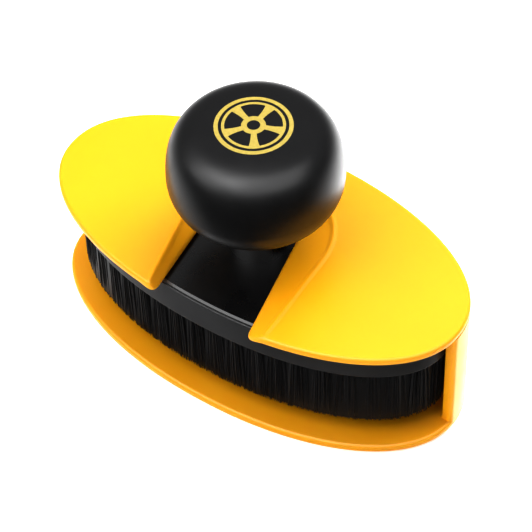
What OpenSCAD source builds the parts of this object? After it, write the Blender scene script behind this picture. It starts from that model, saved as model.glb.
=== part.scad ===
// Wheel brush with a round palm knob, stored in an oval case that is open at the front.
// Origin: centre of the case's flat underside. +X along the case, -Y out of its open front, +Z up.

/* [Case] */
// Length of the case
case_l = 155; // [130:1:180]
// Depth of the case, front to back
case_w = 78.3; // [70:0.1:90]
// Height from the underside to the top of the lid
case_h = 49.1; // [47:0.1:56]
// Thickness of the base and of the lid
plate_t = 3; // [2.6:0.1:3.6]
// Thickness of the rear wall
wall_t = 3.6; // [3:0.1:4]
// Where the rear wall ends at both sides, measured along Y
wall_end_y = -2.6; // [-6:0.1:4]
// Chamfer on the rims of the base and the lid
rim_cut = 0.7; // [0.4:0.1:1]
// Power of the oval outline: 2 is an ellipse, more is squarer
oval_power = 2.1; // [2:0.05:2.6]

/* [Slot in the lid] */
// Half the width of the slot at its round end
slot_r = 15.8; // [14.5:0.1:17]
// Y of the centre of the slot's round end
slot_end_y = 5; // [2:0.5:8]
// Y at which the middle of the slot crosses the middle of the case
slot_cross_y = -22; // [-30:1:-10]
// Angle between the slot and the case's short axis
slot_turn = 10; // [8:1:11]
// How much the slot opens to each side for each millimetre towards the front
slot_flare = 0.045; // [0:0.005:0.08]
// Radius of the round hollow that slopes down to the slot under the knob
scoop_r = 25.4; // [24.5:0.1:27]
// X of the middle of that round part
scoop_end_x = -0.8; // [-2:0.1:0]
// X of the middle of that hollow where it meets the front of the lid
scoop_x = 5.5; // [4:0.1:6]
// Half the width of the hollow at the front of the lid
scoop_half = 21.5; // [21:0.1:24]
// Depth of the hollow at the slot's edge
lip_drop = 2.9; // [1.5:0.1:3]
// How far the lip hangs below the lid
lip_hang = 1.1; // [0.9:0.1:1.1]

/* [Brush head] */
// Gap between the case's outline and the widest part of the block
block_inset = 4.6; // [4.4:0.1:6]
// Underside of the block's skirt
block_z = 34.5; // [32:0.1:36]
// Height of the block
block_h = 8.7; // [8:0.1:9]
// How far the block's side leans in from bottom to top
block_lean = 2; // [1:0.1:3]
// Thickness of the skirt round the roots of the tufts
skirt_t = 1.4; // [1.2:0.1:2]
// Height of the skirt
skirt_h = 1.5; // [1:0.1:2.5]
// Step from the top of the block in to the edge of the cover
cover_step = 0.4; // [0.4:0.1:2]
// Height of the cover's raised edge
cover_t = 1.4; // [1.2:0.1:1.6]
// Depth of the dish inside the raised edge
cover_dish = 0.6; // [0.3:0.1:0.7]

/* [Tufts] */
// Radius of a tuft
tuft_r = 2.8; // [2.4:0.1:2.8]
// Distance between neighbouring tufts in the outer ring
tuft_pitch = 7.6; // [7.2:0.1:9]
// How much that distance grows from one ring to the next one in
pitch_step = 0.35; // [0.3:0.05:0.6]
// Distance between two rings of tufts
ring_step = 7.4; // [7.3:0.1:7.5]
// Height of the trimmed tips above the ground
tip_z = 9.3; // [8:0.1:12]
// Depth of the holes that hold the tufts
tuft_hole_h = 3.6; // [3:0.1:4]

/* [Knob] */
// Radius of the knob at its widest
knob_r = 28.9; // [26:0.1:32]
// Height of the widest part of the knob
knob_wide_z = 77.4; // [76:0.1:80]
// Rise from the widest part to the crown
knob_rise = 21.4; // [18:0.1:24]
// Drop from the widest part to the flat underside
knob_fall = 12.3; // [12:0.1:13]
// Radius of the flat underside
knob_foot_r = 19.7; // [18:0.1:22]
// Thickness of the knob's shell
knob_t = 2.6; // [2:0.1:3]
// Radius of the neck
neck_r = 10; // [9:0.1:10.4]

/* [Fixings] */
// Shank radius of the bolt that holds the knob
bolt_r = 3; // [3:0.1:3.2]
// Shank radius of the screws that hold the cover
screw_r = 1.4; // [1.2:0.1:1.5]

/* [Hidden] */

CASE_YELLOW = [1, 0.80, 0.06];
GLOSS_BLACK = [0.05, 0.05, 0.06];
SATIN_BLACK = [0.13, 0.13, 0.14];
BRISTLE = [0.03, 0.03, 0.03];
STEEL = [0.68, 0.69, 0.71];
BRASS = [0.78, 0.62, 0.30];

$fn = 64;
slack = 0.1;               // clearance between two parts that plug together
over = 1;                  // how far a cut runs past a face
oval_n = 120;              // corners of an oval outline
inner_ring = 3;            // number of the innermost ring of tufts, counted from 0
case_a = case_l / 2;
case_b = case_w / 2;

// Levels
lid_z = case_h - plate_t;                  // underside of the lid
lip_z = lid_z - lip_hang;                  // underside of the lip round the slot
block_top = block_z + block_h;
root_z = block_z + skirt_h;                // face that the tufts grow out of
hole_top = root_z + tuft_hole_h;
pocket_z = hole_top + 1;                   // floor of the pocket on top of the block
dish_z = block_top + cover_t - cover_dish; // sunk face of the cover
knob_z = knob_wide_z - knob_fall;          // flat underside of the knob
seam_z = knob_z + 3;                       // where the knob's two halves meet

// Insets from the case's outline
block_top_inset = block_inset + block_lean;
cover_inset = block_top_inset + cover_step;
ring_inset = block_inset + skirt_t + tuft_r + 0.1;

// Groove and tongue between the wall and the lid
tongue_t = 1.2;
tongue_h = 1.5;
tongue_inset = (wall_t - tongue_t) / 2;

// Ledge on the wall that carries the block
ledge_t = 2;
ledge_h = 2.2;
ledge_gap = 0.3;
ledge_back = 6;            // how far its ends stand behind the wall's ends

// Bolt, washer and nut in the neck
web_z = knob_z - 5;        // underside of the web that the bolt pulls on
neck_top = seam_z;
washer_t = 1.2;
washer_r = 6;
bolt_head_r = 5.2;
bolt_head_h = 4;
well_r = washer_r + 0.5;
nut_af = 10;
nut_h = 5;
nut_z = seam_z + 7;
bolt_top = nut_z + nut_h + 2;
boss_r = 9;
hole_gap = 0.2;            // radial gap round a shank
spigot_h = 3;
neck_fillet = 2;

// Screws on the middle line of the block
screw_x = [-36, -20, 20, 36];
centre_tuft_x = [-28, -12, -4, 4, 12, 28];
screw_head_r = 2.8;
screw_head_h = 1.8;
screw_top = dish_z - 0.8;
boss_screw_r = 3.2;
anchor_t = 0.5;
anchor_h = 1.3;

// Corner points of the oval, inset from the case's outline
function side(v) = v < 0 ? -1 : 1;
function oval_at(t, a, b) = [a * side(cos(t)) * pow(abs(cos(t)), 2 / oval_power),
                             b * side(sin(t)) * pow(abs(sin(t)), 2 / oval_power)];
function oval_points(inset) = [for (i = [0:oval_n - 1])
    oval_at(360 * i / oval_n, case_a - inset, case_b - inset)];

module oval(inset, z, h) {
    translate([0, 0, z]) linear_extrude(h) polygon(oval_points(inset));
}

// Oval plate with chamfered rims
module oval_plate(inset, z, h, cut) {
    hull() {
        oval(inset + cut, z, h);
        oval(inset, z + cut, h - 2 * cut);
    }
}

// Oval band behind the line y = from_y
module rear_band(outer, inner, z, h, from_y) {
    intersection() {
        difference() {
            oval(outer, z, h);
            oval(inner, z - over, h + 2 * over);
        }
        translate([-case_l, from_y, z - over]) cube([2 * case_l, case_w, h + 2 * over]);
    }
}

// Points spread evenly along an oval ring of tufts, found from a table of arc length
function ring_a(k) = case_a - ring_inset - k * ring_step;
function ring_b(k) = case_b - ring_inset - k * ring_step;
function ring_at(t, k) = [ring_a(k) * cos(t), ring_b(k) * sin(t)];
function arc_table(k, steps = 180) = [for (i = 0, s = 0; i <= steps;
    s = s + norm(ring_at(360 * (i + 1) / steps, k) - ring_at(360 * i / steps, k)), i = i + 1)
    [s, 360 * i / steps]];
function ring_spots(k) = let (table = arc_table(k), total = table[len(table) - 1][0],
    count = floor(total / (tuft_pitch + k * pitch_step)))
    [for (i = [0:count - 1]) ring_at(lookup(total * i / count, table), k)];
function screw_gap(spot) = min([for (x = screw_x) norm(spot - [x, 0])]);
function inner_spots() = [for (spot = ring_spots(inner_ring))
    if (screw_gap(spot) > screw_head_r + tuft_r + 0.5) spot];
function centre_spots() = [for (x = centre_tuft_x) [x, 0]];
function all_spots() = concat(ring_spots(0), ring_spots(1), ring_spots(2), inner_spots(),
                              centre_spots());

// Slot outline in its own frame: round end at the back, flared towards the front
module slot_shape(grow) {
    reach = case_w;
    front = slot_r + grow + slot_flare * reach;
    end_x = (slot_cross_y - slot_end_y) * tan(slot_turn);
    translate([end_x, slot_end_y]) rotate(slot_turn)
        polygon(concat([for (t = [0:6:180]) (slot_r + grow) * [cos(t), sin(t)]],
                       [[-front, -reach], [front, -reach]]));
}

module slot_slice(grow, z, h) {
    translate([0, 0, z]) linear_extrude(h) slot_shape(grow);
}

// Outline of the hollow round the slot: a circle under the knob, drawn out to the front
module scoop_slice(z, h) {
    translate([0, 0, z]) linear_extrude(h) hull() {
        translate([scoop_end_x, 0]) circle(scoop_r);
        translate([scoop_x - scoop_half, -case_b - 3]) square([2 * scoop_half, 1]);
    }
}

module case_tray() {
    groove_z = lid_z - tongue_h - slack;
    color(CASE_YELLOW) {
        difference() {
            union() {
                oval_plate(0, 0, plate_t, rim_cut);
                rear_band(0.3, wall_t, plate_t - 0.5, lid_z - plate_t + 0.5, wall_end_y);
                rear_band(wall_t - 0.5, wall_t + ledge_t, block_z - ledge_gap - ledge_h, ledge_h,
                          wall_end_y + ledge_back);
            }
            rear_band(tongue_inset - slack, tongue_inset + tongue_t + slack, groove_z,
                      tongue_h + slack + over, wall_end_y + 3);
        }
    }
}

module case_lid() {
    crease = 0.05;             // upright edge that the hollow is left with at the top
    slice_t = 0.1;
    color(CASE_YELLOW) difference() {
        union() {
            oval(0, lid_z, plate_t);
            intersection() {
                slot_slice(4, lip_z, lip_hang + 0.5);
                oval(rim_cut + 1, lip_z - over, lip_hang + 2 * over);
            }
            rear_band(tongue_inset, tongue_inset + tongue_t, lid_z - tongue_h, tongue_h + 0.5,
                      wall_end_y + 3 + slack);
        }
        slot_slice(0, lip_z - over, case_h - lip_z + 2 * over);
        hull() {
            slot_slice(-slice_t, case_h - lip_drop - slice_t, slice_t);
            scoop_slice(case_h - crease, over);
        }
    }
}

// Outer profile of the knob: radius at a height, and points between two heights
function knob_at(z, cut) = z > knob_wide_z
    ? (knob_r - cut) * pow(max(0, 1 - pow((z - knob_wide_z) / (knob_rise - cut), 2.4)), 1 / 4.9)
    : let (foot = knob_foot_r - cut / 2, fall = knob_fall + 0.01)
      foot + (knob_r - cut - foot) * pow(max(0, 1 - pow((knob_wide_z - z) / fall, 1.85)), 1 / 1.85);
function knob_heights(low, cut) = concat(
    [for (i = [0:8]) low + (knob_wide_z - low) * i / 8],
    [for (i = [1:16]) knob_wide_z + (knob_rise - cut) * sin(90 * i / 16)]);
function knob_profile(low, cut) = [for (z = knob_heights(low, cut)) [knob_at(z, cut), z]];
function reversed(list) = [for (i = [len(list) - 1:-1:0]) list[i]];

module knob_cap() {
    color(GLOSS_BLACK) rotate_extrude($fn = 96)
        polygon(concat(knob_profile(seam_z, 0), reversed(knob_profile(seam_z, knob_t))));
}

module knob_base() {
    floor_t = 3;
    spigot_r = knob_at(seam_z, knob_t) - slack;
    color(GLOSS_BLACK) difference() {
        rotate_extrude($fn = 96) polygon(concat(
            [[0, knob_z], [knob_foot_r, knob_z]],
            [for (i = [1:6]) let (z = knob_z + (seam_z - knob_z) * i / 6) [knob_at(z, 0), z]],
            [[spigot_r, seam_z], [spigot_r, seam_z + spigot_h], [spigot_r - 1.6, seam_z + spigot_h],
             [spigot_r - 1.6, knob_z + floor_t], [boss_r + 4, knob_z + floor_t],
             [boss_r, knob_z + floor_t + 4], [boss_r, nut_z + nut_h + 0.5],
             [0, nut_z + nut_h + 0.5]]));
        translate([0, 0, knob_z - over]) cylinder(r = neck_r + slack, h = neck_top - knob_z + over);
        translate([0, 0, knob_z]) cylinder(r = bolt_r + hole_gap, h = bolt_top);
        translate([0, 0, nut_z]) cylinder(d = (nut_af + slack) / cos(30), h = nut_h + over, $fn = 6);
    }
}

module knob_nut() {
    color(BRASS) difference() {
        translate([0, 0, nut_z]) cylinder(d = nut_af / cos(30), h = nut_h, $fn = 6);
        translate([0, 0, nut_z - over]) cylinder(r = bolt_r + 0.05, h = nut_h + 2 * over);
    }
}

module knob_bolt() {
    head_z = web_z - washer_t - bolt_head_h;
    color(STEEL) difference() {
        union() {
            translate([0, 0, head_z]) cylinder(r = bolt_head_r, h = bolt_head_h);
            translate([0, 0, head_z]) cylinder(r = bolt_r, h = bolt_top - head_z);
        }
        translate([0, 0, head_z - over]) cylinder(d = 5 / cos(30), h = 2.6 + over, $fn = 6);
    }
}

module bolt_washer() {
    color(STEEL) translate([0, 0, web_z - washer_t]) difference() {
        cylinder(r = washer_r, h = washer_t);
        translate([0, 0, -over]) cylinder(r = bolt_r + hole_gap, h = washer_t + 2 * over);
    }
}

module head_cover() {
    color(GLOSS_BLACK) difference() {
        union() {
            difference() {
                oval_plate(cover_inset, block_top, cover_t, 0.3);
                oval(cover_inset + 1.4, dish_z, cover_t);
            }
            rotate_extrude() polygon(concat(
                [[0, block_top], [neck_r + neck_fillet, block_top]],
                [for (t = [0:10:90]) [neck_r + neck_fillet * (1 - sin(t)),
                                      dish_z + neck_fillet * (1 - cos(t))]],
                [[neck_r, neck_top], [0, neck_top]]));
            for (x = screw_x)
                translate([x, 0, pocket_z]) cylinder(r = boss_screw_r, h = dish_z - pocket_z);
        }
        translate([0, 0, block_top - over]) cylinder(r = well_r, h = web_z - block_top + over);
        translate([0, 0, web_z - over]) cylinder(r = bolt_r + hole_gap, h = neck_top);
        for (x = screw_x)
            translate([x, 0, pocket_z - over])
                cylinder(r = screw_r + 0.05, h = screw_top - pocket_z + over);
    }
}

module brush_block() {
    pocket_inset = block_top_inset + 2.5;
    color(SATIN_BLACK) difference() {
        hull() {
            oval(block_inset, block_z, 0.8);
            oval(block_top_inset, block_top - 0.4, 0.4);
        }
        oval(block_inset + skirt_t, block_z - over, skirt_h + over);
        oval(pocket_inset, pocket_z, block_top);
        for (spot = all_spots())
            translate([spot.x, spot.y, root_z - over]) cylinder(r = tuft_r + 0.05, h = tuft_hole_h + over);
        for (x = screw_x) translate([x, 0, 0]) {
            cylinder(r = screw_r + hole_gap, h = block_top);
            cylinder(r = screw_head_r + hole_gap, h = root_z + screw_head_h + slack);
        }
    }
}

module cover_screws() {
    color(STEEL) for (x = screw_x) translate([x, 0, root_z]) difference() {
        union() {
            cylinder(r = screw_head_r, h = screw_head_h);
            cylinder(r = screw_r, h = screw_top - root_z - slack);
        }
        for (turn = [0, 90]) rotate(turn)
            translate([-1.8, -0.35, -over]) cube([3.6, 0.7, 1 + over]);
    }
}

module tufts(spots) {
    tuft_top = hole_top - anchor_h - 0.2;
    color(BRISTLE) for (spot = spots)
        translate([spot.x, spot.y, tip_z]) cylinder(r = tuft_r, h = tuft_top - tip_z, $fn = 24);
}

module anchors(spots) {
    color(STEEL) for (spot = spots)
        translate([spot.x, spot.y, hole_top - 0.1 - anchor_h / 2])
            cube([2 * tuft_r - 0.4, anchor_t, anchor_h], center = true);
}

case_tray();
case_lid();
knob_cap();
knob_base();
knob_nut();
knob_bolt();
bolt_washer();
head_cover();
brush_block();
cover_screws();
tufts(ring_spots(0));  // tufts_outer
tufts(ring_spots(1));  // tufts_second
tufts(ring_spots(2));  // tufts_third
tufts(inner_spots());  // tufts_inner
tufts(centre_spots());  // tufts_centre
anchors(ring_spots(0));  // anchors_outer
anchors(ring_spots(1));  // anchors_second
anchors(ring_spots(2));  // anchors_third
anchors(inner_spots());  // anchors_inner
anchors(centre_spots());  // anchors_centre
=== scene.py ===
import math

import bmesh
import bpy
import numpy as np
from mathutils import Matrix, Vector
from mathutils.geometry import delaunay_2d_cdt

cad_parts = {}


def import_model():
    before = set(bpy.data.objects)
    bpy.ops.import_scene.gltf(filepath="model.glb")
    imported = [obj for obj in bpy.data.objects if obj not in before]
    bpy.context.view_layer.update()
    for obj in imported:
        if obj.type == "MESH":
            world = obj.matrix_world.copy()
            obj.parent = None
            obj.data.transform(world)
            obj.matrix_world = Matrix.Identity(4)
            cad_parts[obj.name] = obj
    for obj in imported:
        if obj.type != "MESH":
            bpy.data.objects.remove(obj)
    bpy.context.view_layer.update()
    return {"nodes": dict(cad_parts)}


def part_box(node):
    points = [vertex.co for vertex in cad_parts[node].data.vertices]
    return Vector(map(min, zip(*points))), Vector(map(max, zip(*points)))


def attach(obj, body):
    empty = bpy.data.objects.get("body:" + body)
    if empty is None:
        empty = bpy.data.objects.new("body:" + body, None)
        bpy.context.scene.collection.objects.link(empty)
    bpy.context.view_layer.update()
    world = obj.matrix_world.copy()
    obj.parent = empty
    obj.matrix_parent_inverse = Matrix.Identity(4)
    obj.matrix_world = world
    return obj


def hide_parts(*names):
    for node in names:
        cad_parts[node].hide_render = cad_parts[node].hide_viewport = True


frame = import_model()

# The scene is in metres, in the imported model's frame: +X along the case, -Y out of its open
# front, +Z up, with the origin under the middle of the case.
MM = 0.001
RNG = np.random.default_rng(7)

# ---------------------------------------------------------------------------------------
# Measures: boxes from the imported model, and its other sizes repeated from part.scad
# ---------------------------------------------------------------------------------------
block_lo, block_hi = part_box("brush_block")
cap_lo, cap_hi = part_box("knob_cap")
tray_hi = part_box("case_tray")[1]

# Case
CASE_A = tray_hi.x                 # half the case's length
CASE_B = tray_hi.y                 # half the case's depth
LID_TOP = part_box("case_lid")[1].z
PLATE_T = 3 * MM                   # thickness of the base and of the lid
LID_UNDER = LID_TOP - PLATE_T
OVAL_POWER = 2.1                   # 2 is an ellipse, and more is squarer
WALL_T = 3.6 * MM
WALL_END_Y = -2.6 * MM             # where the wall's two end faces stand
LEDGE_T = 2 * MM                   # ledge on the wall that carries the block
LEDGE_H = 2.2 * MM
LEDGE_GAP = 0.3 * MM               # between the ledge and the block
LEDGE_BACK = 6 * MM                # from the wall's ends to the ledge's

# Slot in the lid
SLOT_R = 15.8 * MM
SLOT_END_Y = 5 * MM                # middle of the slot's round end
SLOT_CROSS_Y = -22 * MM            # where the slot's middle line crosses the case's
SLOT_TURN = math.radians(10)
SLOT_FLARE = 0.045                 # how fast each side moves out towards the front
LIP_DROP = 2.9 * MM                # depth of the hollow at the slot's edge
LIP_HANG = 1.1 * MM                # how far the lip hangs below the lid at the slot
LIP_RUN = 6 * MM                   # distance over which that runs out
EDGE_RUN = 3 * MM                  # distance over which the lid's edge gets its full height
SCOOP_R = 25.4 * MM                # round hollow in the lid, drawn out to the front
SCOOP_END = Vector((-0.8 * MM, 0))
SCOOP_X = 5.5 * MM                 # middle of the hollow's mouth at the front
SCOOP_HALF = 21.5 * MM             # half that mouth's width
CREASE = 0.7 * MM                  # softness of the bend at the hollow's edge
RIB_H = 0.42 * MM                  # faint raised line along that edge
RIB_W = 0.9 * MM

# Brush head
BLOCK_INSET = CASE_A - block_hi.x
BLOCK_Z = block_lo.z
BLOCK_TOP = block_hi.z
BLOCK_LEAN = 2 * MM                # how far the block's side leans in from bottom to top
SKIRT_T = 1.4 * MM
SKIRT_H = 1.5 * MM
COVER_INSET = BLOCK_INSET + BLOCK_LEAN + 0.4 * MM
COVER_T = 1.4 * MM
COVER_DISH = 0.6 * MM              # how far the cover's face lies below its rim
NECK_R = 10 * MM

# Tufts
TUFT_R = 2.8 * MM
TUFT_PITCH = 7.6 * MM
PITCH_STEP = 0.35 * MM             # wider with each ring inwards
RING_STEP = 7.4 * MM               # from ring to ring
TIP_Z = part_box("tufts_outer")[0].z
ROOT_Z = BLOCK_Z + SKIRT_H
RING_INSET = BLOCK_INSET + SKIRT_T + TUFT_R + 0.1 * MM
INNER_RING = 3                     # the ring that makes room for the cover screws
SCREW_X = [x * MM for x in (-36, -20, 20, 36)]
SCREW_HEAD_R = 2.8 * MM
OUTER_STRANDS, OUTER_STRAND_R = 230, 0.16 * MM         # for each tuft that shows
INNER_STRANDS, INNER_STRAND_R = 65, 0.24 * MM          # for each tuft behind those
CENTRE_TUFTS, CENTRE_STRANDS = 6, 60
STRAND_SINK = 0.5 * MM             # depth of a strand's root in its hole
STRAND_LEVELS = (0.0, 0.12, 0.3, 0.6, 0.85, 1.0)

# Knob
KNOB_R = cap_hi.x
KNOB_TOP = cap_hi.z
KNOB_FOOT_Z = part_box("knob_base")[0].z
KNOB_SEAM_Z = cap_lo.z
KNOB_FALL = 12.3 * MM              # from the knob's widest place down to its foot
KNOB_WIDE_Z = KNOB_FOOT_Z + KNOB_FALL
KNOB_RISE = KNOB_TOP - KNOB_WIDE_Z
KNOB_FOOT_R = 19.7 * MM
KNOB_SEAM = 0.12 * MM              # half the width of the groove between cap and underside
CROWN_POWER, GIRTH_POWER = 2.4, 4.9            # roundness above the widest place
UNDER_POWER = 1.85                             # and below it

SEGMENTS = 256                     # points round every oval and circle
SHARP_ANGLE = math.radians(32)     # edges that bend more stay sharp
AZIMUTH = math.radians(36.66)      # of the camera: 0 looks along +Y, positive is from the right


# ---------------------------------------------------------------------------------------
# Materials
# ---------------------------------------------------------------------------------------
def new_material(name, base, roughness, specular=0.5):
    """A Principled material, with the values that are the same all over set on its sockets."""
    mat = bpy.data.materials.new(name)
    mat.use_nodes = True
    shader = mat.node_tree.nodes["Principled BSDF"]
    shader.inputs["Base Color"].default_value = (*base, 1)
    shader.inputs["Roughness"].default_value = roughness
    shader.inputs["Specular IOR Level"].default_value = specular
    return mat


def add_node(mat, kind, **values):
    node = mat.node_tree.nodes.new(kind)
    for key, value in values.items():
        setattr(node, key, value)
    return node


def link(mat, out_socket, in_socket):
    mat.node_tree.links.new(out_socket, in_socket)


def object_coords(mat):
    return add_node(mat, "ShaderNodeTexCoord").outputs["Object"]


def noise(mat, coords, scale, detail=2.0, roughness=0.5):
    node = add_node(mat, "ShaderNodeTexNoise")
    node.inputs["Scale"].default_value = scale
    node.inputs["Detail"].default_value = detail
    node.inputs["Roughness"].default_value = roughness
    link(mat, coords, node.inputs["Vector"])
    return node.outputs["Fac"]


def spread(mat, value, low, high, from_low=0.3, from_high=0.7):
    """The value, stretched from one range to another."""
    node = add_node(mat, "ShaderNodeMapRange")
    node.inputs["From Min"].default_value = from_low
    node.inputs["From Max"].default_value = from_high
    node.inputs["To Min"].default_value = low
    node.inputs["To Max"].default_value = high
    link(mat, value, node.inputs["Value"])
    return node.outputs["Result"]


def colour_between(mat, value, colour_a, colour_b):
    node = add_node(mat, "ShaderNodeValToRGB")
    node.color_ramp.elements[0].position = 0.3
    node.color_ramp.elements[0].color = (*colour_a, 1)
    node.color_ramp.elements[1].position = 0.7
    node.color_ramp.elements[1].color = (*colour_b, 1)
    link(mat, value, node.inputs["Fac"])
    return node.outputs["Color"]


def bump(mat, height, distance, strength, under=None):
    node = add_node(mat, "ShaderNodeBump")
    node.inputs["Distance"].default_value = distance
    node.inputs["Strength"].default_value = strength
    link(mat, height, node.inputs["Height"])
    if under is not None:
        link(mat, under, node.inputs["Normal"])
    return node.outputs["Normal"]


def shader_input(mat, name):
    return mat.node_tree.nodes["Principled BSDF"].inputs[name]


def case_plastic():
    """Warm yellow moulded plastic with a fine satin texture."""
    mat = new_material("case_plastic", (0.92, 0.43, 0.006), 0.40, specular=0.45)
    shader_input(mat, "Subsurface Weight").default_value = 0.12
    shader_input(mat, "Subsurface Radius").default_value = (1.0, 0.45, 0.05)
    shader_input(mat, "Subsurface Scale").default_value = 1.6 * MM
    coords = object_coords(mat)
    tone = noise(mat, coords, 28, 3)
    link(mat, colour_between(mat, tone, (0.91, 0.42, 0.005), (0.93, 0.44, 0.006)),
         shader_input(mat, "Base Color"))
    link(mat, spread(mat, noise(mat, coords, 60, 4), 0.36, 0.44), shader_input(mat, "Roughness"))
    grain = noise(mat, coords, 2600, 2)
    sink = noise(mat, coords, 22, 1)
    soft = bump(mat, sink, 0.35 * MM, 0.25)
    link(mat, bump(mat, grain, 0.02 * MM, 0.35, soft), shader_input(mat, "Normal"))
    return mat


def black_plastic(name, base, roughness, specular, grain_scale, grain_depth):
    """Black moulded plastic: a faint grain, and a gloss that varies a little from handling."""
    mat = new_material(name, base, roughness, specular)
    coords = object_coords(mat)
    lighter = tuple(1.25 * c for c in base)
    link(mat, colour_between(mat, noise(mat, coords, 35, 3), base, lighter),
         shader_input(mat, "Base Color"))
    link(mat, spread(mat, noise(mat, coords, 75, 5, 0.6), roughness - 0.035, roughness + 0.05),
         shader_input(mat, "Roughness"))
    link(mat, bump(mat, noise(mat, coords, grain_scale, 2), grain_depth, 0.4),
         shader_input(mat, "Normal"))
    return mat


def bristle_nylon():
    """Black nylon filament: each strand has its own shade of near black."""
    mat = new_material("bristle_nylon", (0.008, 0.008, 0.009), 0.5, specular=0.4)
    per_strand = add_node(mat, "ShaderNodeNewGeometry").outputs["Random Per Island"]
    link(mat, colour_between(mat, per_strand, (0.010, 0.010, 0.011), (0.018, 0.018, 0.020)),
         shader_input(mat, "Base Color"))
    link(mat, spread(mat, per_strand, 0.42, 0.62, 0.0, 1.0), shader_input(mat, "Roughness"))
    return mat


def print_gold():
    """Printed mark: a flat layer of yellow gold ink with a slightly uneven edge gloss."""
    mat = new_material("print_gold", (0.41, 0.32, 0.065), 0.45, specular=0.5)
    coords = object_coords(mat)
    tone = noise(mat, coords, 900, 3)
    link(mat, colour_between(mat, tone, (0.38, 0.30, 0.06), (0.46, 0.36, 0.08)),
         shader_input(mat, "Base Color"))
    link(mat, bump(mat, noise(mat, coords, 4000, 2), 0.01 * MM, 0.5), shader_input(mat, "Normal"))
    return mat


def metal(name, base, roughness):
    """Plated or turned metal with fine scratches along the turning."""
    mat = new_material(name, base, roughness)
    shader_input(mat, "Metallic").default_value = 1.0
    coords = object_coords(mat)
    link(mat, spread(mat, noise(mat, coords, 700, 4), roughness - 0.08, roughness + 0.1),
         shader_input(mat, "Roughness"))
    link(mat, bump(mat, noise(mat, coords, 1800, 3), 0.01 * MM, 0.3), shader_input(mat, "Normal"))
    return mat


YELLOW = case_plastic()
KNOB_BLACK = black_plastic("knob_black", (0.0060, 0.0060, 0.0065), 0.36, 0.5, 3000, 0.012 * MM)
COVER_BLACK = black_plastic("cover_black", (0.0035, 0.0035, 0.004), 0.28, 0.9, 2400, 0.008 * MM)
BLOCK_BLACK = black_plastic("block_black", (0.030, 0.030, 0.031), 0.38, 0.85, 1800, 0.03 * MM)
NYLON = bristle_nylon()
GOLD_INK = print_gold()
STEEL = metal("fixing_steel", (0.62, 0.63, 0.65), 0.32)
BRASS = metal("nut_brass", (0.72, 0.54, 0.22), 0.28)


# ---------------------------------------------------------------------------------------
# Mesh helpers
# ---------------------------------------------------------------------------------------
def side(value):
    return -1.0 if value < 0 else 1.0


def clamped(value):
    return min(1.0, max(0.0, value))


def oval_at(t, inset=0.0):
    """Point of the case's oval outline at parameter t, moved in by inset."""
    power = 2 / OVAL_POWER
    c, s = math.cos(t), math.sin(t)
    return Vector(((CASE_A - inset) * side(c) * abs(c) ** power,
                   (CASE_B - inset) * side(s) * abs(s) ** power))


def turn(count):
    """Angles of a full turn in equal steps."""
    return [2 * math.pi * i / count for i in range(count)]


def quarter(steps):
    """Angles from 0 to a right angle."""
    return [math.pi / 2 * i / steps for i in range(steps + 1)]


def oval_ring(inset, z):
    points = [oval_at(t, inset) for t in turn(SEGMENTS)]
    return [(p.x, p.y, z) for p in points]


def circle_ring(radius, z):
    return [(radius * math.cos(t), radius * math.sin(t), z) for t in turn(SEGMENTS)]


def mix_rings(ring_a, ring_b, share):
    return [tuple(a + (b - a) * share for a, b in zip(pa, pb)) for pa, pb in zip(ring_a, ring_b)]


def strip(a, b, count, closed=True):
    """Faces between two rows of vertices that start at a and b."""
    faces = []
    for i in range(count if closed else count - 1):
        j = (i + 1) % count
        faces.append((a + i, a + j, b + j, b + i))
    return faces


def loft(rings, capped=True):
    """Vertices and faces of a skin over closed rings that all have the same count."""
    count = len(rings[0])
    last = (len(rings) - 1) * count
    verts = [p for ring in rings for p in ring]
    faces = []
    for first in range(0, last, count):
        faces += strip(first, first + count, count)
    if capped:
        faces.append(tuple(reversed(range(count))))
        faces.append(tuple(last + i for i in range(count)))
    return verts, faces


def bare_object(name, verts, faces):
    mesh = bpy.data.meshes.new(name)
    mesh.from_pydata(verts, [], faces)
    obj = bpy.data.objects.new(name, mesh)
    bpy.context.scene.collection.objects.link(obj)
    return obj


def make_object(name, verts, faces, mat, body, slot, weighted=True):
    """A mesh object that rides on a body, with its normals made to point outwards."""
    obj = bare_object(name, verts, faces)
    tidy_mesh(obj, weighted)
    obj.data.materials.append(mat)
    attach(obj, body)
    return obj


def tidy_mesh(obj, weighted=True):
    """Merges doubles, turns the faces outwards and shades them smooth between sharp edges."""
    mesh = obj.data
    bm = bmesh.new()
    bm.from_mesh(mesh)
    bmesh.ops.remove_doubles(bm, verts=bm.verts, dist=1e-6)
    bmesh.ops.dissolve_degenerate(bm, edges=bm.edges, dist=1e-7)
    bmesh.ops.recalc_face_normals(bm, faces=bm.faces)
    bm.to_mesh(mesh)
    bm.free()
    mesh.shade_smooth()
    mesh.set_sharp_from_angle(angle=SHARP_ANGLE)
    if weighted:
        modifier = obj.modifiers.new("weighted_normals", "WEIGHTED_NORMAL")
        modifier.keep_sharp = True


def joined(obj, others):
    """The object's mesh becomes the union of it and the others, which are removed."""
    for other in others:
        modifier = obj.modifiers.new("join", "BOOLEAN")
        modifier.operation = "UNION"
        modifier.solver = "EXACT"
        modifier.object = other
        graph = bpy.context.evaluated_depsgraph_get()
        merged = bpy.data.meshes.new_from_object(obj.evaluated_get(graph))
        obj.modifiers.clear()
        obj.data = merged
        bpy.data.objects.remove(other)


def raw_object(name, verts, faces):
    """An object to be joined with others: only its faces are turned outwards."""
    obj = bare_object(name, verts, faces)
    bm = bmesh.new()
    bm.from_mesh(obj.data)
    bmesh.ops.recalc_face_normals(bm, faces=bm.faces)
    bm.to_mesh(obj.data)
    bm.free()
    return obj


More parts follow.
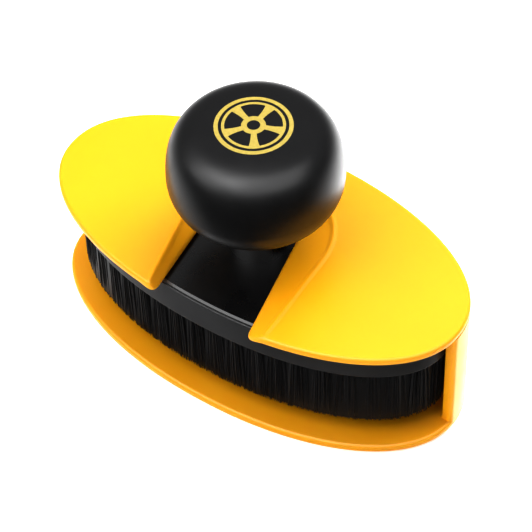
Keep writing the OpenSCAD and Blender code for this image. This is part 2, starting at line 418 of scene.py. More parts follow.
# ---------------------------------------------------------------------------------------
# Case tray: oval base with rounded rims, and the wall round the back
# ---------------------------------------------------------------------------------------
def base_plate():
    under_r, upper_r = 0.9 * MM, 1.3 * MM
    flat_inset = 8 * MM
    rings = []
    for t in quarter(6):
        rings.append(oval_ring(under_r * (1 - math.sin(t)), under_r * (1 - math.cos(t))))
    for t in quarter(8):
        rings.append(oval_ring(upper_r * (1 - math.cos(t)), PLATE_T - upper_r * (1 - math.sin(t))))
    rings.append(oval_ring(flat_inset, PLATE_T))
    return loft(rings)


def running_length(points):
    """Length along a chain of points, at each of them."""
    run = [0.0]
    for p, q in zip(points, points[1:]):
        run.append(run[-1] + (q - p).length)
    return run


def wall_stations():
    """Parameters along the outline from the wall's right end to its left end, with the length
    from the nearer end at each. They lie closer together where the end faces are rounded."""
    start = -math.asin((-WALL_END_Y / CASE_B) ** (OVAL_POWER / 2))
    end = math.pi - start
    steps = 4000
    ts = [start + (end - start) * i / steps for i in range(steps + 1)]
    run = running_length([oval_at(t) for t in ts])
    total = run[-1]
    near_end = [d * MM for d in (0.0, 0.06, 0.2, 0.42, 0.7, 1.0, 1.35, 1.8, 2.4)]
    between = np.linspace(near_end[-1], total - near_end[-1], 220)[1:-1]
    wanted = near_end + list(between) + [total - d for d in reversed(near_end)]
    found = np.interp(wanted, run, ts)
    return [(float(t), min(d, total - d)) for t, d in zip(found, wanted)]


def rounded(distance, radius):
    """How far a rounded edge stands back, at a distance from the end face."""
    if distance >= radius:
        return 0.0
    return radius - math.sqrt(max(0.0, radius ** 2 - (radius - distance) ** 2))


def stood_up(section, t):
    """A section of points (distance in from the outline, height), placed at parameter t."""
    here = oval_at(t)
    ahead = oval_at(t + 1e-4) - oval_at(t - 1e-4)
    inward = Vector((-ahead.y, ahead.x)).normalized()
    return [((here + inward * d).x, (here + inward * d).y, z) for d, z in section]


def wall_band():
    """The rear wall: a section swept along the outline, with rounded edges at both end faces."""
    outer_edge, inner_edge, fillet = 1.7 * MM, 0.5 * MM, 1.6 * MM
    low_z, foot_z = 0.95 * MM, PLATE_T - 0.2 * MM      # both inside the base
    inset, toe = 0.02 * MM, 0.3 * MM
    rings = []
    for t, from_end in wall_stations():
        back = rounded(from_end, outer_edge)
        front = rounded(from_end, inner_edge)
        section = [(inset + back, low_z), (inset + back, LID_UNDER)]
        section.append((WALL_T - front, LID_UNDER))
        for angle in quarter(6):
            section.append((WALL_T - front + fillet * (1 - math.cos(angle)),
                            PLATE_T + fillet * (1 - math.sin(angle))))
        section.append((WALL_T - front + fillet + toe, foot_z))
        section.append((WALL_T - front + fillet + toe, low_z))
        rings.append(stood_up(section, t))
    return loft(rings)


def ledge_band():
    """The ledge inside the wall, with a rounded upper edge under the block."""
    edge = 0.4 * MM
    root = WALL_T - 0.8 * MM       # inside the wall
    top = BLOCK_Z - LEDGE_GAP
    rings = []
    for t, from_end in wall_stations():
        if from_end < LEDGE_BACK:
            continue
        front = WALL_T + LEDGE_T - rounded(from_end - LEDGE_BACK, edge)
        section = [(root, top - LEDGE_H), (front, top - LEDGE_H)]
        for angle in quarter(4):
            section.append((front - edge * (1 - math.cos(angle)),
                            top - edge * (1 - math.sin(angle))))
        section.append((root, top))
        rings.append(stood_up(section, t))
    return loft(rings)


def case_tray():
    tray = raw_object("case_tray_shell", *base_plate())
    joined(tray, [raw_object("wall", *wall_band()), raw_object("ledge", *ledge_band())])
    tidy_mesh(tray)
    tray.data.materials.clear()
    tray.data.materials.append(YELLOW)
    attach(tray, "case")
    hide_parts("case_tray")


# ---------------------------------------------------------------------------------------
# Case lid: oval plate with an open slot, and a hollow round it that slopes down to the brush
# ---------------------------------------------------------------------------------------
SLOT_END = Vector(((SLOT_CROSS_Y - SLOT_END_Y) * math.tan(SLOT_TURN), SLOT_END_Y))
SLOT_U = Vector((math.cos(SLOT_TURN), math.sin(SLOT_TURN)))
SLOT_V = Vector((-math.sin(SLOT_TURN), math.cos(SLOT_TURN)))


def slot_distance(p):
    """Distance of a point from the slot's edge, positive where the lid has material."""
    u = (p - SLOT_END).dot(SLOT_U)
    v = (p - SLOT_END).dot(SLOT_V)
    if v >= 0:
        return math.hypot(u, v) - SLOT_R
    return (abs(u) - SLOT_R + SLOT_FLARE * v) / math.hypot(1, SLOT_FLARE)


def slot_point(distance, along, hand):
    """Point on a side of the slot, at a distance outside its edge."""
    u = hand * (SLOT_R + SLOT_FLARE * along + distance)
    return SLOT_END + SLOT_U * u - SLOT_V * along


def slot_arc(radius, steps):
    """The slot's round end from left to right, at a radius from its middle."""
    angles = [math.pi * i / steps for i in range(steps + 1)]
    return [SLOT_END + (SLOT_U * -math.cos(t) + SLOT_V * math.sin(t)) * radius for t in angles]


def scoop_side(hand):
    """Where a side of the hollow leaves its round part, seen from the middle of that part, and
    its direction from there, to a point just outside the case's front."""
    outside = 3 * MM
    front = Vector((SCOOP_X + hand * SCOOP_HALF, -CASE_B - outside)) - SCOOP_END
    angle = math.atan2(front.y, front.x) + hand * math.acos(SCOOP_R / front.length)
    touch = Vector((math.cos(angle), math.sin(angle))) * SCOOP_R
    return touch, (front - touch).normalized()


SCOOP_SIDES = {hand: scoop_side(hand) for hand in (-1, 1)}


def scoop_depth(p):
    """Distance of a point inside the hollow's outline, negative outside it."""
    depths = []
    here = p - SCOOP_END
    for touch, ahead in SCOOP_SIDES.values():
        if (here - touch).dot(ahead) >= 0:
            depths.append((touch - here).dot(touch.normalized()))
        else:
            depths.append(SCOOP_R - here.length)
    return min(depths)


def scoop_chain(offset):
    """Points along the hollow's outline from front left to front right, moved out by an offset."""
    (left_touch, left_ahead), (right_touch, right_ahead) = SCOOP_SIDES[-1], SCOOP_SIDES[1]
    radius, reach = SCOOP_R + offset, 50 * MM
    start = math.atan2(left_touch.y, left_touch.x) % (2 * math.pi)
    end = math.atan2(right_touch.y, right_touch.x)
    left = [left_touch.normalized() * radius + left_ahead * reach * (1 - i / 50)
            for i in range(50)]
    arc = [Vector((math.cos(t), math.sin(t))) * radius
           for t in (start + (end - start) * i / 90 for i in range(91))]
    right = [right_touch.normalized() * radius + right_ahead * reach * i / 50
             for i in range(1, 51)]
    return [p + SCOOP_END for p in left + arc + right]


def soft_floor(value, blend):
    """The value where it is positive and 0 where it is negative, with a round bend between."""
    if value <= -blend:
        return 0.0
    if value >= blend:
        return value
    return (value + blend) ** 2 / (4 * blend)


def oval_level(p, inset=0.0):
    """Below 1 inside the case's outline moved in by inset, and above 1 outside it."""
    x, y = abs(p.x) / (CASE_A - inset), abs(p.y) / (CASE_B - inset)
    return x ** OVAL_POWER + y ** OVAL_POWER


def rim_fade(p):
    """1 on the lid, falling to 0 near its rim."""
    fade_end, fade_width = 0.96, 0.1
    return clamped((fade_end - oval_level(p)) / fade_width)


def lip_fall(p):
    """How far the lid's top has dropped at a point, because of the hollow round the slot."""
    least_width = 0.8 * MM
    inside = scoop_depth(p)
    rib = RIB_H * rim_fade(p) * math.exp(-(inside / RIB_W) ** 2)
    if inside <= -CREASE:
        return -rib
    width = max(least_width, inside + slot_distance(p))
    return min(LIP_DROP, LIP_DROP * soft_floor(inside, CREASE) / width) - rib


def even_points(points, gap):
    """The open chain of points, sampled again at even gaps."""
    run = running_length(points)
    count = max(2, round(run[-1] / gap) + 1)
    where = np.linspace(0, run[-1], count)
    xs = np.interp(where, run, [p.x for p in points])
    ys = np.interp(where, run, [p.y for p in points])
    return [Vector((float(x), float(y))) for x, y in zip(xs, ys)]


def trimmed(points, start_cut, end_cut):
    """The chain without its first and last stretches of those lengths."""
    gap = 0.05 * MM
    fine = even_points(points, gap)
    first = round(start_cut / gap)
    last = len(fine) - round(end_cut / gap)
    return fine[first:last]


def corner_curve(a, corner, b):
    """A round corner from a to b, drawn towards the corner, without its two end points."""
    steps = 14
    return [a * (1 - s) ** 2 + corner * 2 * s * (1 - s) + b * s ** 2
            for s in (i / steps for i in range(1, steps))]


def lid_boundary():
    """Closed outline of the lid, anticlockwise, with round corners where the slot meets the
    rim."""
    corner, gap = 3.4 * MM, 0.75 * MM
    steps = 6000
    rim = [oval_at(-math.pi / 2 + 2 * math.pi * i / steps) for i in range(steps)]
    solid = [slot_distance(p) > 0 for p in rim]
    first = next(i for i in range(steps) if solid[i])
    last = max(i for i in range(steps) if solid[i])
    rim = rim[first:last + 1]
    reach = (rim[0] - SLOT_END).length
    left = [slot_point(0, reach * i / 200, -1) for i in range(201)]
    left = [p for p in left if p.y >= rim[-1].y]
    right = [slot_point(0, reach * i / 200, 1) for i in range(201)]
    right = [p for p in right if p.y >= rim[0].y]
    edge = list(reversed(left)) + slot_arc(SLOT_R, 90)[1:-1] + right
    rim_part = trimmed(rim, corner, corner)
    edge_part = trimmed(edge, corner, corner)
    chain = (rim_part + corner_curve(rim_part[-1], rim[-1], edge_part[0])
             + edge_part + corner_curve(edge_part[-1], rim[0], rim_part[0]))
    return even_points(chain + [chain[0]], gap)[:-1]


def inward_normals(loop):
    count = len(loop)
    normals = []
    for i in range(count):
        ahead = loop[(i + 1) % count] - loop[i - 1]
        normals.append(Vector((-ahead.y, ahead.x)).normalized())
    return normals


def slot_chain(distance):
    """Points along the slot's outline from front left to front right, at a distance from it."""
    reach = 60 * MM
    left = [slot_point(distance, reach * (1 - i / 60), -1) for i in range(60)]
    right = [slot_point(distance, reach * i / 60, 1) for i in range(1, 61)]
    return left + slot_arc(SLOT_R + distance, 60) + right


def lid_fill(loop):
    """Triangles inside the loop, with rows of extra points: along the slot, close together
    along the hollow's edge, and a wide grid on the rest."""
    rim_margin, slot_margin = 2.1 * MM, 1.5 * MM
    points = []
    for row in range(2, 12):
        chain = even_points(slot_chain(row * MM), 1.4 * MM)
        points += [p for p in chain if abs(scoop_depth(p)) > 1.9 * MM]
    for row in range(-4, 5):
        points += even_points(scoop_chain(row * 0.38 * MM), 0.9 * MM)
    step = 5 * MM
    for i in range(-16, 17):
        for j in range(-9, 10):
            p = Vector(((i + 0.5 * (j % 2)) * step, j * step * 0.87))
            if slot_distance(p) > 13 * MM and scoop_depth(p) < -3 * MM:
                points.append(p)
    points = [p for p in points
              if oval_level(p, rim_margin) < 1 and slot_distance(p) > slot_margin]
    count = len(loop)
    edges = [(i, (i + 1) % count) for i in range(count)]
    verts, _, faces, *_ = delaunay_2d_cdt(loop + points, edges, [], 1, 1e-7)
    return verts, faces


def near_slot(p, reach):
    """1 at the slot's edge, falling to 0 at a reach from it."""
    return clamped(1 - slot_distance(p) / reach)


def top_z(p):
    return LID_TOP - lip_fall(p)


def under_z(p):
    return LID_UNDER - LIP_HANG * near_slot(p, LIP_RUN)


def edge_height(p, plain, less):
    """Height of the rounded edge at a point, which is lower along the slot."""
    return (plain - less * near_slot(p, EDGE_RUN)) * MM


def lid_mesh():
    loop = lid_boundary()
    normals = inward_normals(loop)
    count = len(loop)
    edge_r = 1.2 * MM
    verts, faces = [], []

    def ring(depth, height):
        """One row of vertices round the edge, at a depth inside it."""
        first = len(verts)
        for p, n in zip(loop, normals):
            q = p + n * depth
            verts.append((q.x, q.y, height(p, q)))
        return first

    def top_row(t):
        drop = 1 - math.sin(t)
        return ring(edge_r * (1 - math.cos(t)),
                    lambda p, q: top_z(q) - edge_height(p, 1.2, 0.45) * drop)

    def under_row(t):
        rise = 1 - math.cos(t)
        return ring(edge_r * (1 - math.sin(t)),
                    lambda p, q: under_z(q) + edge_height(p, 0.9, 0.35) * rise)

    rows = [under_row(t) for t in quarter(5)] + [top_row(t) for t in quarter(8)]
    for a, b in zip(rows, rows[1:]):
        faces += strip(a, b, count)
    inner = [p + n * edge_r for p, n in zip(loop, normals)]
    fill_verts, fill_faces = lid_fill(inner)
    for height, flip in ((top_z, False), (under_z, True)):
        base = len(verts)
        verts += [(p.x, p.y, height(p)) for p in fill_verts]
        for face in fill_faces:
            ids = [base + i for i in face]
            faces.append(tuple(reversed(ids)) if flip else tuple(ids))
    return verts, faces


def case_lid():
    lid = make_object("case_lid_shell", *lid_mesh(), YELLOW, "case", "case_plastic")
    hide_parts("case_lid")


# ---------------------------------------------------------------------------------------
# Knob: crown and side in one shell, underside with the socket for the neck
# ---------------------------------------------------------------------------------------
def knob_radius(z):
    """The knob's radius at a height: a rounded crown over its widest place, and an underside
    that draws in to the foot below it."""
    if z > KNOB_WIDE_Z:
        share = max(0.0, 1 - ((z - KNOB_WIDE_Z) / KNOB_RISE) ** CROWN_POWER)
        return KNOB_R * share ** (1 / GIRTH_POWER)
    fall = KNOB_FALL * 1.0005      # a little more, so that the share stays above 0 at the foot
    share = max(0.0, 1 - ((KNOB_WIDE_Z - z) / fall) ** UNDER_POWER)
    return KNOB_FOOT_R + (KNOB_R - KNOB_FOOT_R) * share ** (1 / UNDER_POWER)


def knob_height(radius):
    """Height of the crown's surface at a distance from the axis."""
    return KNOB_WIDE_Z + KNOB_RISE * (1 - (radius / KNOB_R) ** GIRTH_POWER) ** (1 / CROWN_POWER)


def knob_cap():
    tip_r = 0.4 * MM               # the last ring, closed with one flat face
    seam_r = knob_radius(KNOB_SEAM_Z)
    rings = [circle_ring(seam_r - 2 * MM, KNOB_SEAM_Z),
             circle_ring(seam_r - 2 * KNOB_SEAM, KNOB_SEAM_Z)]
    low = KNOB_SEAM_Z + KNOB_SEAM
    rings.append(circle_ring(knob_radius(low), low))
    for i in range(1, 13):
        z = low + (KNOB_WIDE_Z - low) * i / 12
        rings.append(circle_ring(knob_radius(z), z))
    for t in quarter(24)[1:-1]:
        z = KNOB_WIDE_Z + KNOB_RISE * math.sin(t)
        rings.append(circle_ring(knob_radius(z), z))
    edge = knob_radius(z)
    for i in range(1, 13):
        radius = edge * (1 - i / 12) + tip_r * i / 12
        rings.append(circle_ring(radius, knob_height(radius)))
    cap = make_object("knob_shell", *loft(rings), KNOB_BLACK, "brush", "knob_plastic")
    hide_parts("knob_cap")


def knob_base():
    collar, chamfer = NECK_R + 0.1 * MM, 0.4 * MM
    foot_edge, foot_step = 0.8 * MM, 0.15 * MM
    rings = [circle_ring(collar, KNOB_SEAM_Z), circle_ring(collar, KNOB_FOOT_Z + chamfer),
             circle_ring(collar + chamfer, KNOB_FOOT_Z),
             circle_ring(KNOB_FOOT_R - foot_edge, KNOB_FOOT_Z)]
    top = KNOB_SEAM_Z - KNOB_SEAM
    for i in range(9):
        z = KNOB_FOOT_Z + foot_step + (top - KNOB_FOOT_Z - foot_step) * i / 8
        rings.append(circle_ring(knob_radius(z), z))
    rings.append(circle_ring(knob_radius(top) - 2 * KNOB_SEAM, KNOB_SEAM_Z))
    verts, faces = loft(rings, capped=False)
    faces += strip((len(rings) - 1) * SEGMENTS, 0, SEGMENTS)
    base = make_object("knob_underside", verts, faces, KNOB_BLACK, "brush", "knob_plastic")
    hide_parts("knob_base")


# ---------------------------------------------------------------------------------------
# Printed mark: a plain wheel sign of rings and spokes, laid on the crown
# ---------------------------------------------------------------------------------------
def mark_patch(outline_in, outline_out, verts, faces, closed):
    """A thin raised strip between two outlines of the same count, laid on the crown."""
    height, sunk = 0.05 * MM, 0.05 * MM
    count = len(outline_in)
    rows = [len(verts) + row * count for row in range(4)]
    for outline, lift in ((outline_in, -sunk), (outline_in, height), (outline_out, height),
                          (outline_out, -sunk)):
        for x, y in outline:
            verts.append((x, y, knob_height(math.hypot(x, y)) + lift))
    for a, b in zip(rows, rows[1:] + rows[:1]):
        faces += strip(a, b, count, closed)
    if not closed:
        faces.append(tuple(rows))
        faces.append(tuple(row + count - 1 for row in reversed(rows)))


def mark_ring(inner, outer, verts, faces):
    def circle(radius):
        return [(radius * math.cos(t), radius * math.sin(t)) for t in turn(120)]

    mark_patch(circle(inner * MM), circle(outer * MM), verts, faces, True)


def mark_spoke(angle, verts, faces):
    """A spoke from the hub ring to the rim ring, wider at the rim."""
    start, end, steps = 3.8, 9.3, 8
    along = Vector((math.cos(angle), math.sin(angle)))
    across = Vector((-along.y, along.x))
    left, right = [], []
    for i in range(steps + 1):
        share = i / steps
        radius = (start + (end - start) * share) * MM
        half = (0.95 + 0.85 * share ** 2) * MM
        left.append(tuple(along * radius - across * half))
        right.append(tuple(along * radius + across * half))
    mark_patch(left, right, verts, faces, False)


def printed_mark():
    verts, faces = [], []
    for inner, outer in ((11.2, 12.6), (9.2, 10.2), (2.1, 3.9)):
        mark_ring(inner, outer, verts, faces)
    spokes = 5
    for k in range(spokes):
        mark_spoke(2 * math.pi * (k + 0.25) / spokes, verts, faces)
    make_object("printed_mark", verts, faces, GOLD_INK, "brush", "knob_plastic", weighted=False)


# ---------------------------------------------------------------------------------------
# Head: glossy cover with the neck, and the block under it
# ---------------------------------------------------------------------------------------
def head_cover():
    dish_z = BLOCK_TOP + COVER_T - COVER_DISH
    bevel, inner_r = 0.64 * MM, 0.5 * MM
    rings = [oval_ring(COVER_INSET + 0.5 * MM, BLOCK_TOP), oval_ring(COVER_INSET, BLOCK_TOP),
             oval_ring(COVER_INSET, dish_z)]
    for t in quarter(6):
        rings.append(oval_ring(COVER_INSET + bevel + inner_r * math.sin(t),
                               dish_z + COVER_DISH * math.cos(t)))
    outer = oval_ring(COVER_INSET + bevel + inner_r + 0.4 * MM, dish_z)
    inner = circle_ring(NECK_R, dish_z)
    steps = 14
    for i in range(steps + 1):
        rings.append(mix_rings(outer, inner, i / steps))
    for share in (0.3, 0.6, 1.0):
        rings.append(circle_ring(NECK_R, dish_z + (KNOB_SEAM_Z - dish_z) * share))
    cover = make_object("head_cover_shell", *loft(rings), COVER_BLACK, "brush", "cover_plastic")
    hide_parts("head_cover")


def brush_block():
    low_r, top_r, skirt_edge = 0.5 * MM, 0.12 * MM, 0.2 * MM
    height = BLOCK_TOP - BLOCK_Z
    skirt_inset = BLOCK_INSET + SKIRT_T

    def lean(z):
        return BLOCK_INSET + BLOCK_LEAN * (z - BLOCK_Z) / height

    rings = [oval_ring(skirt_inset + 1.5 * MM, ROOT_Z), oval_ring(skirt_inset, ROOT_Z),
             oval_ring(skirt_inset, BLOCK_Z + skirt_edge),
             oval_ring(skirt_inset - skirt_edge, BLOCK_Z)]
    for t in quarter(5):
        z = BLOCK_Z + low_r * (1 - math.cos(t))
        rings.append(oval_ring(lean(z) + low_r * (1 - math.sin(t)), z))
    for i in range(1, 8):
        z = BLOCK_Z + low_r + (height - low_r - top_r) * i / 8
        rings.append(oval_ring(lean(z), z))
    for t in quarter(6):
        z = BLOCK_TOP - top_r * (1 - math.sin(t))
        rings.append(oval_ring(lean(z) + top_r * (1 - math.cos(t)), z))
    rings.append(oval_ring(COVER_INSET + 0.6 * MM, BLOCK_TOP))
    block = make_object("brush_block_shell", *loft(rings), BLOCK_BLACK, "brush", "block_plastic")
    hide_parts("brush_block")


# ---------------------------------------------------------------------------------------
# Bristles: tufts of filament that leave their holes round and fill the block's outline
# ---------------------------------------------------------------------------------------
def ring_axes(k):
    return CASE_A - RING_INSET - k * RING_STEP, CASE_B - RING_INSET - k * RING_STEP


def ring_table(k):
    """Arc length and angle round a ring of tufts."""
    steps = 720
    a, b = ring_axes(k)
    ts = np.linspace(0, 2 * math.pi, steps + 1)
    points = np.stack([a * np.cos(ts), b * np.sin(ts)], 1)
    run = np.concatenate([[0], np.cumsum(np.hypot(*np.diff(points, axis=0).T))])
    return run, ts


def near_screw(k, length):
    """Whether a cover screw takes the place of the tuft at that length round a ring."""
    a, b = ring_axes(k)
    run, ts = ring_table(k)
    t = np.interp(length, run, ts)
    x, y = a * math.cos(t), b * math.sin(t)
    return min(math.hypot(x - s, y) for s in SCREW_X) < SCREW_HEAD_R + TUFT_R + 0.5 * MM


def square_to_disc(u, v):
    return u * np.sqrt(1 - v * v / 2), v * np.sqrt(1 - u * u / 2)


def strands(root, tip, radius):
    """Three-sided filaments from root points to tip points, spreading early and then
    straight, with a little bow and a narrower tip."""
    spread_power, taper, taper_from = 0.45, 0.72, 0.9
    count = len(root)
    length = tip[:, 2] - root[:, 2]
    spin = RNG.uniform(0, 2 * math.pi, count)
    bow = RNG.normal(0, 0.10 * MM, (count, 2))
    rows = []
    for level in STRAND_LEVELS:
        share = level ** spread_power
        centre = root[:, :2] * (1 - share) + tip[:, :2] * share + bow * math.sin(math.pi * level)
        z = root[:, 2] + length * level
        width = radius * (1.0 if level < taper_from else taper)
        for corner in range(3):
            angle = spin + corner * 2 * math.pi / 3
            rows.append(np.stack([centre[:, 0] + width * np.cos(angle),
                                  centre[:, 1] + width * np.sin(angle), z], 1))
    per = len(rows)
    verts = np.stack(rows, 1).reshape(-1, 3)
    quads = []
    for row in range(len(STRAND_LEVELS) - 1):
        for c in range(3):
            d = (c + 1) % 3
            quads.append((row * 3 + c, row * 3 + d, row * 3 + 3 + d, row * 3 + 3 + c))
    base = (np.arange(count) * per)[:, None, None]
    quad_faces = (base + np.array(quads)[None]).reshape(-1, 4).tolist()
    caps = np.array([[2, 1, 0], [per - 3, per - 2, per - 1]])
    cap_faces = (base + caps[None]).reshape(-1, 3).tolist()
    return verts.tolist(), quad_faces + cap_faces


def bristle_piece(name, node, root, tip, radius):
    obj = bare_object(name, *strands(root, tip, radius))
    obj.data.shade_smooth()
    obj.data.materials.append(NYLON)
    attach(obj, "brush")
    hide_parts(node)


def tip_height(count):
    """Level trim with the small unevenness of cut filament."""
    return TIP_Z + np.abs(RNG.normal(0, 0.06 * MM, count)) + RNG.uniform(0, 0.05 * MM, count)


def ring_bristles(k, place_name, per_tuft, radius):
    """A ring of tufts: each leaves a round hole and fills its share of the outline."""
    hole_r = TUFT_R * 0.97
    a, b = ring_axes(k)
    run, ts = ring_table(k)
    total = run[-1]
    tufts = int(total / (TUFT_PITCH + k * PITCH_STEP))
    middle = total * np.arange(tufts) / tufts
    if k == INNER_RING:
        middle = middle[[not near_screw(k, m) for m in middle]]
    shape = (len(middle), per_tuft)
    u, v = RNG.uniform(-1, 1, shape), 2 * np.sqrt(RNG.uniform(0, 1, shape)) - 1
    tip_run = (middle[:, None] + u * total / tufts / 2) % total
    outer_reach = TUFT_R + 0.15 * MM if k == 0 else RING_STEP / 2
    out = np.where(v > 0, v * outer_reach, v * RING_STEP / 2)

    def place(length, offset):
        t = np.interp(length % total, run, ts)
        normal = np.stack([b * np.cos(t), a * np.sin(t)], -1)
        normal /= np.linalg.norm(normal, axis=-1, keepdims=True)
        return np.stack([a * np.cos(t), b * np.sin(t)], -1) + normal * offset[..., None]

    tip_xy = place(tip_run, out).reshape(-1, 2)
    du, dv = square_to_disc(u, v)
    root_xy = place(middle[:, None] + du * hole_r, dv * hole_r).reshape(-1, 2)
    count = len(tip_xy)
    root = np.column_stack([root_xy, np.full(count, ROOT_Z + STRAND_SINK)])
    tip = np.column_stack([tip_xy, tip_height(count)])
    bristle_piece(f"bristles_{place_name}", f"tufts_{place_name}", root, tip, radius)


def centre_bristles(count, radius):
    """The short middle row, which stands between the two long sides of the inner ring."""
    beyond = 2 * MM                # the row runs on past its end tufts
    lo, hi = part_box("tufts_centre")
    x = RNG.uniform(lo.x - beyond, hi.x + beyond, count)
    y = RNG.uniform(lo.y, hi.y, count)
    root = np.column_stack([x, y * 0.9, np.full(count, ROOT_Z + STRAND_SINK)])
    tip = np.column_stack([x + RNG.normal(0, 0.3 * MM, count), y * 1.15, tip_height(count)])
    bristle_piece("bristles_centre", "tufts_centre", root, tip, radius)


def bristle_core():
    """Dark filling between the filaments, just behind the outer ones and above the tips."""
    rings = []
    for inset, z in ((2.4, ROOT_Z), (1.2, ROOT_Z - 6 * MM),
                     (0.5, TIP_Z + 1 * MM), (0.9, TIP_Z + 0.3 * MM)):
        rings.append(oval_ring(BLOCK_INSET + SKIRT_T + inset * MM, z))
    make_object("bristle_core", *loft(rings), NYLON, "brush", "bristle")


def bristles():
    ring_bristles(0, "outer", OUTER_STRANDS, OUTER_STRAND_R)
    for k, place_name in enumerate(("second", "third", "inner"), start=1):
        ring_bristles(k, place_name, INNER_STRANDS, INNER_STRAND_R)
    centre_bristles(CENTRE_TUFTS * CENTRE_STRANDS, INNER_STRAND_R)
    bristle_core()


# ---------------------------------------------------------------------------------------
# CAD nodes that stay, with better materials
# ---------------------------------------------------------------------------------------
def finish_fixings():
    for name, node in frame["nodes"].items():
        if name.startswith("anchors_") or name in ("knob_bolt", "bolt_washer", "cover_screws"):
            paint = STEEL
        elif name == "knob_nut":
            paint = BRASS
        else:
            continue
        node.data.materials.clear()
        node.data.materials.append(paint)


# ---------------------------------------------------------------------------------------
# Floor, light and camera
# ---------------------------------------------------------------------------------------
# Level directions as the camera has them
VIEW_RIGHT = Vector((math.cos(AZIMUTH), math.sin(AZIMUTH), 0))
VIEW_AHEAD = Vector((-math.sin(AZIMUTH), math.cos(AZIMUTH), 0))


def floor():
    half, clear = 4.0, 0.1 * MM    # clear of the case's underside
    corners = [(-half, -half, 0), (half, -half, 0), (half, half, 0), (-half, half, 0)]
    obj = bare_object("floor", corners, [(0, 1, 2, 3)])
    obj.location.z = -clear
    mat = new_material("floor_white", (0.93, 0.93, 0.93), 0.7, specular=0.2)
    shader_input(mat, "Emission Color").default_value = (1, 1, 1, 1)
    shader_input(mat, "Emission Strength").default_value = 0.35
    obj.data.materials.append(mat)
    obj.visible_glossy = False     # black plastic mirrors the studio, not a white floor


def area_light(name, right, front, elevation, distance, size, radiance):
    """A softbox of a width and height, towards the viewer's right and front and at an elevation
    in degrees."""
    middle = Vector((0, 0, 0.05))  # of the object
    flat = (VIEW_RIGHT * right - VIEW_AHEAD * front).normalized()
    angle = math.radians(elevation)
    place = (flat * math.cos(angle) + Vector((0, 0, math.sin(angle)))) * distance
    data = bpy.data.lights.new(name, "AREA")
    data.shape = "RECTANGLE"
    data.size, data.size_y = size
    data.energy = radiance * math.pi * data.size * data.size_y
    obj = bpy.data.objects.new(name, data)
    obj.location = place + middle
    obj.rotation_euler = (-place).to_track_quat("-Z", "Y").to_euler()
    bpy.context.scene.collection.objects.link(obj)
    return obj


def world_range(tree, value, from_low, from_high, low, high):
    node = tree.nodes.new("ShaderNodeMapRange")
    node.inputs["From Min"].default_value = from_low
    node.inputs["From Max"].default_value = from_high
    node.inputs["To Min"].default_value = low
    node.inputs["To Max"].default_value = high
    tree.links.new(value, node.inputs["Value"])
    return node.outputs["Result"]


def world_mix(tree, factor, value_a, value_b):
    node = tree.nodes.new("ShaderNodeMix")
    tree.links.new(factor, node.inputs["Factor"])
    for value, socket in ((value_a, node.inputs["A"]), (value_b, node.inputs["B"])):
        tree.links.new(value, socket)
    return node.outputs["Result"]


def world_share(tree, coords, axis):
    """How far a direction in the world points along an axis, from -1 to 1."""
    node = tree.nodes.new("ShaderNodeVectorMath")
    node.operation = "DOT_PRODUCT"
    node.inputs[1].default_value = axis
    tree.links.new(coords, node.inputs[0])
    return node.outputs["Value"]


def world_glow(tree):
    """What lights the object and shows in its gloss: a bright ground behind it, brighter on the
    right, dim overhead and dark on the camera's side."""
    coords = tree.nodes.new("ShaderNodeTexCoord").outputs["Generated"]
    ahead = world_share(tree, coords, VIEW_AHEAD)
    right = world_share(tree, coords, VIEW_RIGHT)
    up = world_share(tree, coords, (0, 0, 1))
    behind = world_range(tree, ahead, -0.35, 0.35, 0.0, 1.0)
    ground = world_range(tree, right, -0.3, 0.6, 2.6, 5.5)
    height = world_range(tree, up, -0.45, -0.05, 0.0, 1.0)
    upper = world_range(tree, up, 0.0, 1.0, 0.3, 0.6)
    back = world_mix(tree, height, ground, upper)
    front = world_range(tree, up, 0.0, 0.8, 0.05, 0.6)
    return world_mix(tree, behind, front, back)


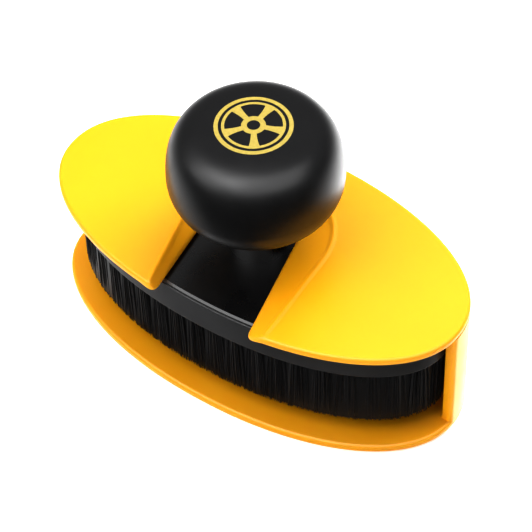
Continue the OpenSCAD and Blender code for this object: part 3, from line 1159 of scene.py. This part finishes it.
def world():
    """The studio around the object, which is plain white to look at."""
    surroundings = bpy.data.worlds.new("studio")
    bpy.context.scene.world = surroundings
    surroundings.use_nodes = True
    tree = surroundings.node_tree
    tree.nodes.clear()
    glow = tree.nodes.new("ShaderNodeBackground")
    tree.links.new(world_glow(tree), glow.inputs["Color"])
    white = tree.nodes.new("ShaderNodeBackground")
    white.inputs["Color"].default_value = (1, 1, 1, 1)
    white.inputs["Strength"].default_value = 1.05
    mix = tree.nodes.new("ShaderNodeMixShader")
    out = tree.nodes.new("ShaderNodeOutputWorld")
    ray = tree.nodes.new("ShaderNodeLightPath")
    tree.links.new(ray.outputs["Is Camera Ray"], mix.inputs["Fac"])
    tree.links.new(glow.outputs["Background"], mix.inputs[1])
    tree.links.new(white.outputs["Background"], mix.inputs[2])
    tree.links.new(mix.outputs["Shader"], out.inputs["Surface"])


def lights():
    world()
    area_light("left_softbox", -1.0, 0.3, 42, 1.0, (0.85, 0.85), 3.4)
    for soft in (area_light("top_softbox", 0.0, -1.0, 72, 1.1, (1.2, 1.2), 2.1),
                 area_light("right_softbox", 0.75, -0.66, 44, 1.0, (0.8, 0.8), 6.0)):
        soft.visible_glossy = False       # lights the case without a glare on the black knob
    for panel in (area_light("front_reflector", 0.25, 1.0, 58, 1.0, (1.8, 0.95), 3.4),
                  area_light("shoulder_reflector", -0.8, 0.6, 62, 1.0, (0.7, 0.7), 3.2)):
        panel.visible_diffuse = False     # only mirrored in the black plastic
    bpy.context.scene.view_settings.view_transform = "Standard"
    bpy.context.scene.view_settings.gamma = 0.75


def camera():
    """A long lens at about 0.75 m, in front of the case and to its right."""
    elevation, roll, distance = math.radians(49.33), math.radians(-2.63), 0.7521
    aim_right, aim_up = 0.94 * MM, 20.27 * MM
    image_size, focal_length = 532, 2166.0             # both in pixels
    back = Vector((0, 0, math.sin(elevation))) - VIEW_AHEAD * math.cos(elevation)
    upright = back.cross(VIEW_RIGHT)
    right = VIEW_RIGHT * math.cos(roll) + upright * math.sin(roll)
    up = upright * math.cos(roll) - VIEW_RIGHT * math.sin(roll)
    data = bpy.data.cameras.new("camera")
    data.sensor_width = 36.0
    data.angle = 2 * math.atan(0.5 * image_size / focal_length)
    data.clip_start = 0.05
    obj = bpy.data.objects.new("camera", data)
    place = right * aim_right + up * aim_up + back * distance
    axes = Matrix((right, up, back)).transposed().to_4x4()
    obj.matrix_world = Matrix.Translation(place) @ axes
    bpy.context.scene.collection.objects.link(obj)
    bpy.context.scene.camera = obj


case_tray()
case_lid()
knob_cap()
knob_base()
printed_mark()
head_cover()
brush_block()
bristles()
finish_fixings()
floor()
lights()
camera()
